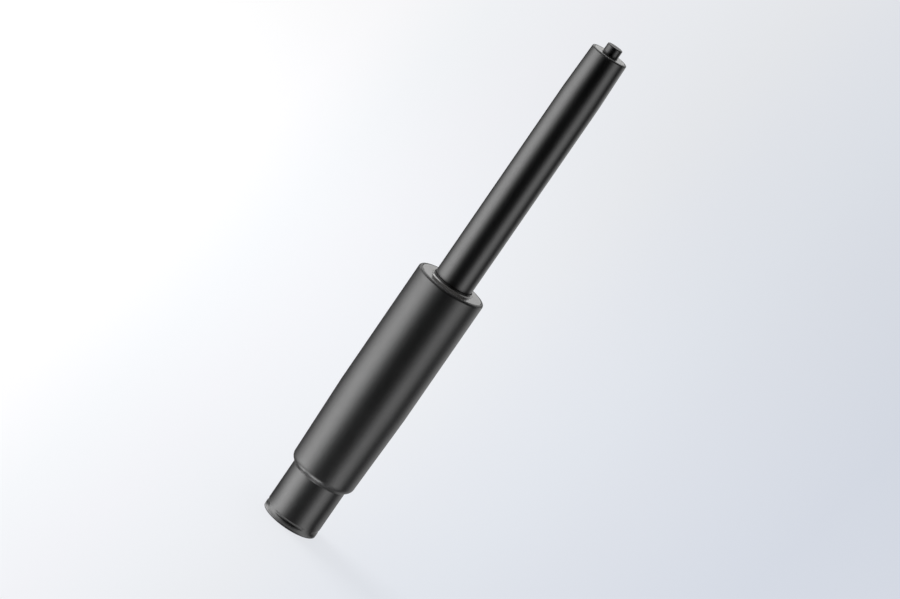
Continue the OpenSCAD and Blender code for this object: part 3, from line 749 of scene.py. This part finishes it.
# %% Mix the wiper's rubber
LIP_TOP, LIP_HEIGHT, LIP_STEP = 200.0, 0.22, 0.28
LIP_FOOT = LIP_TOP - LIP_HEIGHT
PORE, PORE_DEPTH, LIP_BLEND = 0.5 * MM, 0.006 * MM, 0.1

wiper_rubber, tree = new_finish("wiper_rubber")
place = add(tree, "ShaderNodeTexCoord").outputs["Object"]
pores = add(tree, "ShaderNodeTexNoise", {
    "Vector": place, "Scale": 1 / PORE, "Detail": 3.0,
}).outputs["Fac"]
relief = add(tree, "ShaderNodeBump", {"Distance": PORE_DEPTH, "Height": pores})
level = add(tree, "ShaderNodeSeparateXYZ", {"Vector": place}).outputs["Z"]
lip_share = add(tree, "ShaderNodeMapRange", {
    "Value": level, "From Min": (LIP_FOOT - LIP_BLEND) * MM, "From Max": LIP_FOOT * MM,
})
dust = add(tree, "ShaderNodeMapRange", {
    "Value": pores, "From Min": 0.3, "From Max": 0.7, "To Min": 0.60, "To Max": 0.75,
})
collar = add(tree, "ShaderNodeBsdfPrincipled", {
    "Base Color": linear("#0b0b0b"), "Roughness": 0.34, "IOR": 1.55, "Coat Weight": 0.8,
    "Coat Roughness": 0.26, "Normal": relief,
})
lip = add(tree, "ShaderNodeBsdfPrincipled", {
    "Base Color": linear("#080808"), "Roughness": dust, "IOR": 1.3, "Normal": relief,
})
whole = add(tree, "ShaderNodeMixShader", {0: lip_share, 1: collar, 2: lip})
add(tree, "ShaderNodeOutputMaterial", {"Surface": whole})
print("the lip is matt above", LIP_FOOT, "mm")

# %% [markdown]
# The wiper is a turned piece, so the lathe makes it: a body that fills the bush's pocket, a neck
# that comes out beside the tube, and the lip that steps out from the neck.

# %% Turn the wiper
grow(
    "wiper_rubber",
    lathe,
    rounded([
        (WIPER_R, WIPER_FOOT, 0.1),
        (WIPER_BODY_R, WIPER_FOOT, 0.2),
        (WIPER_BODY_R, WIPER_SHOULDER, 0.2),
        (WIPER_NECK_R, WIPER_SHOULDER, 0.1),
        (WIPER_NECK_R, LIP_FOOT - LIP_STEP, 0.1),
        (WIPER_NECK_R + LIP_STEP, LIP_FOOT, 0.1),
        (WIPER_NECK_R + LIP_STEP, LIP_TOP, 0.2),
        (WIPER_R, LIP_TOP, 0.08),
    ]),
    wiper_rubber, "column", "wiper_ring", "black_rubber", steps_round=STEPS,
)

# %% [markdown]
# ## The plug
# The plug closes the tube's top with a light, turned steel face, under the rolled edge of the
# tube. The button slides in its wide bore and the valve's pin in the narrow one below.

# %% Turn the plug
BUTTON_R, BUTTON_BORE_R, PIN_R, PIN_BORE_R = 5.6, 5.8, 2.0, 2.05
BUTTON_TOP, BUTTON_FOOT, BUTTON_FLOOR = 390.25, 378.75, 374.95
PLUG_EDGE = 0.35
grow(
    "top_plug_turned",
    lathe,
    rounded([
        (PIN_BORE_R, VALVE_TOP, 0.1),
        (TUBE_R - TUBE_WALL, VALVE_TOP, 0.2),
        (PLUG_R + PLUG_EDGE * TAPER_SLOPE, TUBE_TOP - PLUG_EDGE, 0.1),
        (PLUG_R - PLUG_EDGE, TUBE_TOP, 0.15),
        (BUTTON_BORE_R, TUBE_TOP, 0.25),
        (BUTTON_BORE_R, BUTTON_FLOOR, 0.2),
        (PIN_BORE_R, BUTTON_FLOOR, 0.1),
    ]),
    plug_steel, "cylinder", "top_plug", "turned_steel", steps_round=STEPS,
)

# %% [markdown]
# ## The release button
# A lever under the seat pushes this button down to let the lift move. It is a plain peg with a
# blind bore from below, pressed onto the valve's pin. Its outline runs along the axis from its
# top to the end of the bore, and there the lathe merges all the copies of a point into one.

# %% Turn the button
grow(
    "release_button_black",
    lathe,
    rounded([
        (PIN_R, BUTTON_FOOT, 0.1),
        (BUTTON_R, BUTTON_FOOT, 0.4),
        (BUTTON_R, BUTTON_TOP, 0.6),
        (0, BUTTON_TOP, 0),
        (0, TUBE_TOP, 0),
        (PIN_R, TUBE_TOP, 0.1),
    ]),
    button_enamel, "release", "release_button", "button_black", steps_round=128,
)

# %% [markdown]
# ## The balls of the thrust bearing
# Ten steel balls in a ring let the seat turn. They repeat by a rule, so they are one ball placed
# on the points of a circle. Inside the column nobody sees them until the lift is taken apart.

# %% Grow the ring of balls
BALL_D, BALL_RING_D, BALL_Z, BALLS = 4.75, 19.0, 15.525, 10
ball_tree, given = open_tree(
    "ring_of_balls",
    {
        "Balls": "NodeSocketInt",
        **{label: "NodeSocketFloat" for label in ("Ball Radius", "Ring Radius", "Height")},
    },
)
ball = add(ball_tree, "GeometryNodeMeshUVSphere", {
    "Segments": 32, "Rings": 20, "Radius": given["Ball Radius"],
})
ring = add(ball_tree, "GeometryNodeMeshCircle", {
    "Vertices": given["Balls"], "Radius": given["Ring Radius"],
})
lift = add(ball_tree, "ShaderNodeCombineXYZ", {"Z": given["Height"]})
raised = add(ball_tree, "GeometryNodeTransform", {"Geometry": ring, "Translation": lift})
placed = add(ball_tree, "GeometryNodeInstanceOnPoints", {
    "Points": raised, "Instance": ball.outputs["Mesh"],
})
close_tree(ball_tree, placed, given["Finish"])
grow(
    "bearing_balls_chromed",
    ball_tree,
    [Vector((0, 0)), Vector((0, 1))],
    hard_chrome,
    "ball_ring",
    "bearing_balls",
    "hard_chrome",
    balls=BALLS,
    ball_radius=BALL_D / 2 * MM,
    ring_radius=BALL_RING_D / 2 * MM,
    height=BALL_Z * MM,
)

# %% [markdown]
# ## The pieces that stay as they are
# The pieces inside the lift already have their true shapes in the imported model. They keep their
# meshes and only get a finish: steel for plates and races, chrome for the rod and the pin,
# natural acetal for the piston, the guide and the valve body, rubber for the seals, brass for the
# ball cage.

# %% Give the inner pieces their finishes
FINISHES = {
    "bright_steel": bright_steel,
    "hard_chrome": hard_chrome,
    "natural_plastic": natural_acetal,
    "black_rubber": black_rubber,
    "brass": cage_brass,
    "black_enamel": column_enamel,
    "black_plastic": black_acetal,
    "turned_steel": plug_steel,
    "button_black": button_enamel,
}
for row in frame["record"]["subparts"]:
    mesh = frame["nodes"][row["node"]].data
    mesh.materials.clear()
    mesh.materials.append(FINISHES[row["material_slot"]])

# %% [markdown]
# ## The paper of the background
# The photograph's background runs from white at the upper left to a pale blue grey at the lower
# right. The floor is one large sheet of paper in that gradient, whose bands fan out behind the
# part. A ramp holds its tones against the place across the sheet, in metres.

# %% Tint the paper
PAPER_TONES = [
    (-0.27, "#ffffff"), (-0.20, "#fcfcfe"), (-0.15, "#f5f7fa"), (-0.10, "#f2f3f7"),
    (-0.05, "#eef0f4"), (0.0, "#eaecf0"), (0.05, "#e5e8ee"), (0.10, "#e1e5ec"),
    (0.15, "#dde1e9"), (0.25, "#d6dbe5"),
]
SLANT, FAN, LEAST_FAN = -0.14, 2.36, 0.2


def fill_ramp(ramp, stops):
    """Gives a colour ramp its stops, each a position and a colour."""
    while len(ramp.elements) > 1:
        ramp.elements.remove(ramp.elements[-1])
    for i, (position, colour) in enumerate(stops):
        stop = ramp.elements[0] if i == 0 else ramp.elements.new(position)
        stop.position, stop.color = position, colour


floor_paper, tree = new_finish("studio_paper")
place = add(tree, "ShaderNodeTexCoord").outputs["Object"]
spot = add(tree, "ShaderNodeSeparateXYZ", {"Vector": place}).outputs
sloped = add(tree, "ShaderNodeMath", {
    0: spot["Y"], 1: SLANT / FAN, 2: spot["X"],
}, operation="MULTIPLY_ADD")
fan = add(tree, "ShaderNodeMath", {0: spot["Y"], 1: 1 / FAN, 2: 1.0}, operation="MULTIPLY_ADD")
safe_fan = add(tree, "ShaderNodeMath", {0: fan, 1: LEAST_FAN}, operation="MAXIMUM")
across = add(tree, "ShaderNodeMath", {0: sloped, 1: safe_fan}, operation="DIVIDE")
first, last = PAPER_TONES[0][0], PAPER_TONES[-1][0]
share = add(tree, "ShaderNodeMapRange", {"Value": across, "From Min": first, "From Max": last})
tones = add(tree, "ShaderNodeValToRGB", {"Fac": share})
fill_ramp(
    tones.color_ramp, [((x - first) / (last - first), linear(tone)) for x, tone in PAPER_TONES]
)
print("the paper has", len(PAPER_TONES), "tones")

# %% [markdown]
# To the camera, and in anything glossy, the paper glows at its own colour, so the background
# keeps its tones whatever the lamps do. A small share of real light keeps the part's shadow on
# it. The world behind the sheet's edge follows the same rule.

# %% Lay the floor
SHADOW_SHARE = 0.13
FLOOR_HALF, FLOOR_DROP = 15.0, 0.2 * MM


def seen_share(tree):
    """1 for rays from the camera, off gloss or through glass, and 0 for those that light."""
    path = add(tree, "ShaderNodeLightPath").outputs
    seen = add(tree, "ShaderNodeMath", {
        0: path["Is Camera Ray"], 1: path["Is Glossy Ray"],
    }, operation="ADD")
    return add(tree, "ShaderNodeMath", {
        0: seen, 1: path["Is Transmission Ray"],
    }, operation="ADD", use_clamp=True)


glow_share = add(tree, "ShaderNodeMath", {
    0: seen_share(tree), 1: 1 - SHADOW_SHARE,
}, operation="MULTIPLY")
paper = add(tree, "ShaderNodeBsdfDiffuse", {"Color": tones})
glow = add(tree, "ShaderNodeEmission", {"Color": tones, "Strength": 1.0})
mixed = add(tree, "ShaderNodeMixShader", {0: glow_share, 1: paper, 2: glow})
add(tree, "ShaderNodeOutputMaterial", {"Surface": mixed})
floor_mesh = bpy.data.meshes.new("studio_floor")
corners = [(x * FLOOR_HALF, y * FLOOR_HALF) for x, y in [(-1, -1), (1, -1), (1, 1), (-1, 1)]]
floor_mesh.from_pydata([(x, y, -FLOOR_DROP) for x, y in corners], [], [(0, 1, 2, 3)])
floor_mesh.materials.append(floor_paper)
floor = bpy.data.objects.new("studio_floor", floor_mesh)
bpy.context.scene.collection.objects.link(floor)
print("the floor is", 2 * FLOOR_HALF, "m wide")

# %% [markdown]
# The world fills in the shadows. It lights at half the strength of white, which leaves room for
# the lamps, and shows as the pale grey of a studio's far wall.

# %% Light the world
ROOM_LIGHT = 0.52
world = bpy.data.worlds.new("studio_world")
bpy.context.scene.world = world
world.use_nodes = True
sky = world.node_tree
sky.nodes.clear()
dim = add(sky, "ShaderNodeBackground", {"Color": linear("#ffffff"), "Strength": ROOM_LIGHT})
pale = add(sky, "ShaderNodeBackground", {"Color": linear("#eeeeee"), "Strength": 1.0})
both = add(sky, "ShaderNodeMixShader", {0: seen_share(sky), 1: dim, 2: pale})
add(sky, "ShaderNodeOutputWorld", {"Surface": both})
print("the room lights at", ROOM_LIGHT, "of white")

# %% [markdown]
# ## Soft boxes
# Two soft boxes light the part for the eye: a large one behind it at the left and a weak one
# above. They are kept plain, so that a grey surface comes out about as grey as it was mixed, and
# out of the gloss, because there the cards do their work with softer borders.

# %% Set the soft boxes
PART_MIDDLE = Vector((0, 0, 0.2))


def area_lamp(name, shape, place, size, watts, turn):
    """Area lamp that the camera itself doesn't see."""
    data = bpy.data.lights.new(name, "AREA")
    data.shape, data.energy = shape, watts
    data.size, data.size_y = size
    lamp = bpy.data.objects.new(name, data)
    bpy.context.scene.collection.objects.link(lamp)
    lamp.location, lamp.rotation_euler = place, turn
    lamp.visible_camera = False
    return lamp


for name, place, size, watts in [
    ("left_soft_box", (-1.3, 0.6, 0.8), (0.9, 0.9), 28),
    ("top_soft_box", (-0.2, 0.4, 1.7), (1.0, 1.0), 5),
]:
    towards_part = (PART_MIDDLE - Vector(place)).to_track_quat("-Z", "Y").to_euler()
    soft_box = area_lamp(name, "RECTANGLE", place, size, watts, towards_part)
    soft_box.visible_glossy = False
    print(name, "has", watts, "watts")

# %% [markdown]
# ## Reflectors
# The shoulder above the foot faces down, and in the photograph it shows a soft light line, which
# comes off the bright table. Two small lamps flat on the floor stand for that table. Their spread
# is narrow, so that they reach the shoulder and pass the foot's own sides.

# %% Lay the reflectors
REFLECTOR_SPREAD = math.radians(88)
FACING_UP = (math.pi, 0, 0)
for name, place, size, watts in [
    ("front_reflector", (-0.012, -0.052, 0.001), (0.056, 0.043), 0.0091),
    ("left_reflector", (-0.044, -0.020, 0.001), (0.028, 0.044), 0.0050),
]:
    reflector = area_lamp(name, "ELLIPSE", place, size, watts, FACING_UP)
    reflector.data.spread = REFLECTOR_SPREAD
    print(name, "has", watts, "watts")

# %% [markdown]
# ## Cards for the enamel to mirror
# A black cylinder in front of the camera mirrors a full turn of the room, squeezed into its
# width. That is why photographers stand white and black cards round such a part. These tones say
# how bright the room is in each direction from the part, in degrees from the camera's side: dark
# in front, so that the middle of the tube is deep black, bright at the left for the broad
# highlight, softer at the right for the second one, and dark again beside them. The second number
# of a row is the tone near the part and the third the tone far from it, 1 being about white
# paper.

# %% Note the tones of the room
CARD_TONES = [
    (-180, 0.10, 0.10), (-150, 0.04, 0.03), (-125, 0.52, 0.48), (-112, 1.12, 1.12),
    (-100, 2.05, 2.05), (-85, 3.20, 2.95), (-70, 3.60, 3.15), (-58, 3.30, 2.80),
    (-46, 2.45, 1.65), (-35, 1.35, 0.72), (-24, 0.58, 0.15), (-12, 0.20, 0.00),
    (0, 0.12, 0.00), (12, 0.11, 0.00), (24, 0.20, 0.01), (35, 0.48, 0.18),
    (46, 1.15, 0.74), (58, 1.70, 1.42), (71, 1.40, 1.28), (85, 0.62, 0.62),
    (97, 0.08, 0.12), (108, 0.02, 0.04), (120, 0.26, 0.28), (135, 0.42, 0.48),
    (150, 0.42, 0.50), (180, 0.22, 0.24),
]
BRIGHTEST = 3.6


def ring_tones(tree, bearing, tones, squeeze=1.0):
    """Tones by bearing, as shares of the brightest, squeezed towards the front."""
    turn_share = add(tree, "ShaderNodeMapRange", {
        "Value": bearing, "From Min": -math.pi * squeeze, "From Max": math.pi * squeeze,
    })
    ramp = add(tree, "ShaderNodeValToRGB", {"Fac": turn_share})
    stops = [((angle + 180) / 360, (tone / BRIGHTEST,) * 3 + (1,)) for angle, tone in tones]
    fill_ramp(ramp.color_ramp, stops)
    return ramp


print("the room has", len(CARD_TONES), "directions")

# %% [markdown]
# One material grades all the large cards. It works out the bearing of each point on a card from
# the card's own coordinates and goes from the near tones to the far ones with the distance. Close
# to the foot the part's own width shifts the bearings, so they are stretched there. Above a
# quarter of a metre the cards darken, because the upper part of the room is dark.

# %% Grade the room
NEAR_SQUEEZE = 0.88
CARD_GAIN, HIGH_SHARE = 3.85, 0.04

room_card, tree = new_finish("room_card")
place = add(tree, "ShaderNodeTexCoord").outputs["Object"]
spot = add(tree, "ShaderNodeSeparateXYZ", {"Vector": place}).outputs
forward = add(tree, "ShaderNodeMath", {0: spot["Y"], 1: -1.0}, operation="MULTIPLY")
bearing = add(tree, "ShaderNodeMath", {0: spot["X"], 1: forward}, operation="ARCTAN2")
away = add(tree, "ShaderNodeVectorMath", {0: place}, operation="LENGTH").outputs["Value"]
stretch = add(tree, "ShaderNodeMapRange", {
    "Value": away, "From Min": 0.03, "From Max": 0.09, "To Min": 1.22, "To Max": 1.0,
})
turned = add(tree, "ShaderNodeMath", {0: bearing, 1: stretch}, operation="MULTIPLY")
near_side = ring_tones(tree, turned, [(a, near) for a, near, far in CARD_TONES], NEAR_SQUEEZE)
far_side = ring_tones(tree, turned, [(a, far) for a, near, far in CARD_TONES])
out_share = add(tree, "ShaderNodeMapRange", {"Value": away, "From Min": 0.1, "From Max": 1.4})
eased = add(tree, "ShaderNodeMath", {0: out_share, 1: 0.5}, operation="POWER")
graded = add(tree, "ShaderNodeMix", {0: eased, 6: near_side, 7: far_side}, data_type="RGBA")
strength = add(tree, "ShaderNodeMapRange", {
    "Value": spot["Z"], "From Min": 0.25, "From Max": 0.8, "To Min": CARD_GAIN,
    "To Max": HIGH_SHARE * CARD_GAIN,
})
card_glow = add(tree, "ShaderNodeEmission", {"Color": graded.outputs[2], "Strength": strength})
add(tree, "ShaderNodeOutputMaterial", {"Surface": card_glow})
print("the room's cards glow at up to", CARD_GAIN, "of white")

# %% [markdown]
# The other cards have one tone each, in units of white paper: dark for the ceiling and the sheet
# under the fins, pale for the wall behind, and brighter ones for two small jobs.

# %% Mix the plain cards
def plain_card(name, tone):
    """A card of one tone, in units of white paper."""
    made, tree = new_finish(name)
    card_glow = add(tree, "ShaderNodeEmission", {"Strength": tone})
    add(tree, "ShaderNodeOutputMaterial", {"Surface": card_glow})
    return made


pale_card = plain_card("pale_card", 1.08)
dark_card = plain_card("dark_card", 0.25)
bright_card = plain_card("bright_card", 3.6)
foot_card = plain_card("foot_card", 1.3)
print("plain cards:", pale_card.name, dark_card.name, bright_card.name, foot_card.name)

# %% [markdown]
# The cards are rings or parts of rings round the part, so one helper sweeps them all. They show
# only in reflections: the camera doesn't see them, and they neither light the part nor shade it.
# The floor needs a card too. Lying flat, it would make the enamel look like chrome from above. So
# it is cut into thin upright fins, like a blind: a low look meets their sides, each just high
# enough to hide the gap behind it from the camera, and a steep one falls between them on a dark
# sheet. That height follows from the camera's own height and distance in metres.

# %% Stand the fins
CARD_NEAR, CARD_FAR, CARD_STEPS = 0.0212, 2.4, 120
CAMERA_HEIGHT, CAMERA_AWAY = 0.741, 2.37
FIN_STEP, FIN_OVERLAP, FIN_FOOT = 0.08, 1.15, 0.3 * MM


def card_ring(name, profiles, finish, first=-180, last=180):
    """Sheets swept about the axis between two directions, in degrees from the camera's side."""
    made = bmesh.new()
    for profile in profiles:
        rows = []
        for i in range(CARD_STEPS + 1):
            a = math.radians(first + (last - first) * i / CARD_STEPS)
            x, y = math.sin(a), -math.cos(a)
            rows.append([made.verts.new((r * x, r * y, z)) for r, z in profile])
        for one, two in zip(rows, rows[1:]):
            for k in range(len(profile) - 1):
                made.faces.new((one[k], one[k + 1], two[k + 1], two[k]))
    mesh = bpy.data.meshes.new(name)
    made.to_mesh(mesh)
    made.free()
    mesh.materials.append(finish)
    card = bpy.data.objects.new(name, mesh)
    bpy.context.scene.collection.objects.link(card)
    card.visible_camera = card.visible_transmission = False
    card.visible_diffuse = card.visible_shadow = False


fins, radius = [], CARD_NEAR
while radius < CARD_FAR:
    dip = CAMERA_HEIGHT / (CAMERA_AWAY + radius - CARD_NEAR)
    fins.append([(radius, FIN_FOOT), (radius, FIN_FOOT + FIN_OVERLAP * FIN_STEP * radius * dip)])
    radius *= 1 + FIN_STEP
card_ring("grid_card", fins, room_card)
print("fins on the floor:", len(fins))

# %% [markdown]
# The rest of the room follows. A low and a tall card close it all round, except that the tall one
# leaves the back to a pale wall, which the flat top faces mirror. A ceiling keeps the upper edges
# dark, and a bright card high behind the left side puts light on the rims. Two small cards lie by
# the foot: a pale one in front, for the line of light at its lower edge, and a dark one at the
# left, which keeps its corner from washing out.

# %% Stand the other cards
CARD_LOW, CARD_HIGH, WALL_TOP = 0.45, 4.5, 2.4
BACK_EDGE = 125
for name, profile, finish, first, last in [
    ("under_card", [(CARD_NEAR, 0.2 * MM), (CARD_FAR, 0.2 * MM)], dark_card, -180, 180),
    ("foot_card", [(CARD_NEAR, 0.8 * MM), (0.0250, 0.8 * MM)], foot_card, -60, 35),
    ("corner_card", [(CARD_NEAR, 1.3 * MM), (0.0290, 1.3 * MM)], dark_card, -128, -80),
    ("low_card", [(CARD_FAR, 0.0), (CARD_FAR, CARD_LOW)], room_card, -180, 180),
    ("tall_card", [(CARD_FAR, CARD_LOW), (CARD_FAR, CARD_HIGH)], room_card, -BACK_EDGE, BACK_EDGE),
    ("ceiling_card", [(CARD_FAR, CARD_HIGH), (0.01, CARD_HIGH)], dark_card, -180, 180),
    ("high_card", [(2.38, 1.5), (2.0, 3.6), (0.9, 4.4)], bright_card, 185, 262),
    ("back_card", [(CARD_FAR, CARD_LOW), (CARD_FAR, WALL_TOP)], pale_card, BACK_EDGE,
     360 - BACK_EDGE),
]:
    card_ring(name, [profile], finish, first, last)
    print(name, "from", first, "to", last, "degrees")
